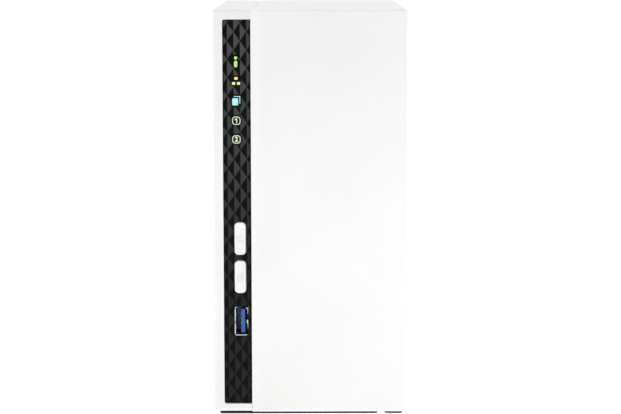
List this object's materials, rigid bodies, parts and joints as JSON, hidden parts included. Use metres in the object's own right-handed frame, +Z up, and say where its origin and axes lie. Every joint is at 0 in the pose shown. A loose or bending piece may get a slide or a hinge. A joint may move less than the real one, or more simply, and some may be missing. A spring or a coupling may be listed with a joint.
{
  "type": "network attached storage",
  "caption": "White desktop network storage tower with a side cover that slides off, a glossy front strip with press buttons, upright hard drives and a rear fan.",
  "frame": {"origin": "on the ground under the middle of the case's box", "axes": "+Z up, -Y towards the front face, +X to the right as seen from the front"},
  "size_m": [0.0902, 0.1562, 0.1886],
  "materials": {
    "white_abs": "fine even moulded texture",
    "gloss_black": "glossy, moulded in small diamond facets",
    "black_plastic": "satin",
    "connector_plastic": "satin",
    "usb_blue": "satin",
    "clear_acrylic": "clear, polished",
    "led_resin": "glowing diffused resin",
    "rubber": "matte",
    "plated_steel": "nickel or zinc plated",
    "painted_steel": "fine powder coat",
    "aluminium": "cast or extruded, satin",
    "circuit_green": "solder mask",
    "chip_epoxy": "matte epoxy"
  },
  "bodies": {
    "chassis": {"main_shell": "white_abs", "front_strip": "gloss_black", "power_switch": "plated_steel", "copy_switch": "plated_steel", "status_led": "led_resin", "lan_led": "led_resin", "copy_led": "led_resin", "drive_1_led": "led_resin", "drive_2_led": "led_resin", "light_guide": "clear_acrylic", "main_board": "circuit_green", "processor": "chip_epoxy", "memory_chip": "chip_epoxy", "heat_sink": "aluminium", "coin_cell": "plated_steel", "fan_header": "connector_plastic", "front_usb_shell": "plated_steel", "front_usb_tongue": "usb_blue", "rear_usb_lower_shell": "plated_steel", "rear_usb_lower_tongue": "connector_plastic", "rear_usb_upper_shell": "plated_steel", "rear_usb_upper_tongue": "connector_plastic", "lan_port": "plated_steel", "power_jack": "connector_plastic", "power_jack_pin": "plated_steel", "reset_switch": "connector_plastic", "rear_panel": "painted_steel", "fan_frame": "black_plastic", "fan_cable": "rubber", "drive_1_case": "aluminium", "drive_1_lid": "plated_steel", "drive_1_board": "circuit_green", "drive_1_socket": "connector_plastic", "drive_2_case": "aluminium", "drive_2_lid": "plated_steel", "drive_2_board": "circuit_green", "drive_2_socket": "connector_plastic", "drive_backplane": "circuit_green", "riser_socket": "connector_plastic", "drive_cage": "plated_steel", "drive_1_screw_lower": "plated_steel", "drive_1_screw_upper": "plated_steel", "drive_2_screw_lower": "plated_steel", "drive_2_screw_upper": "plated_steel", "fan_screw_1": "plated_steel", "fan_screw_2": "plated_steel", "fan_screw_3": "plated_steel", "fan_screw_4": "plated_steel", "cover_screw_upper": "plated_steel", "cover_screw_lower": "plated_steel", "front_foot_bar": "rubber", "rear_foot_bar": "rubber"},
    "cover": {"side_cover": "white_abs", "cover_foot_front": "rubber", "cover_foot_rear": "rubber"},
    "power_key": {"power_button": "white_abs"},
    "copy_key": {"copy_button": "white_abs"},
    "reset_key": {"reset_plunger": "connector_plastic"},
    "rotor": {"fan_rotor": "black_plastic"}
  },
  "joints": [
    {"name": "cover_slide", "type": "slide", "parent": "chassis", "child": "cover", "axis": [0, -1, 0], "range_m": [0, 0.17]},
    {"name": "power_button_press", "type": "slide", "parent": "chassis", "child": "power_key", "axis": [0, 1, 0], "range_m": [0, 0.0006], "stiffness_N_per_m": 1500},
    {"name": "copy_button_press", "type": "slide", "parent": "chassis", "child": "copy_key", "axis": [0, 1, 0], "range_m": [0, 0.0006], "stiffness_N_per_m": 1500},
    {"name": "reset_press", "type": "slide", "parent": "chassis", "child": "reset_key", "axis": [0, -1, 0], "range_m": [0, 0.0003], "stiffness_N_per_m": 2500},
    {"name": "fan_spin", "type": "hinge", "parent": "chassis", "child": "rotor", "pos_m": [0.011, 0.06, 0.118], "axis": [0, 1, 0], "continuous": true}
  ]
}
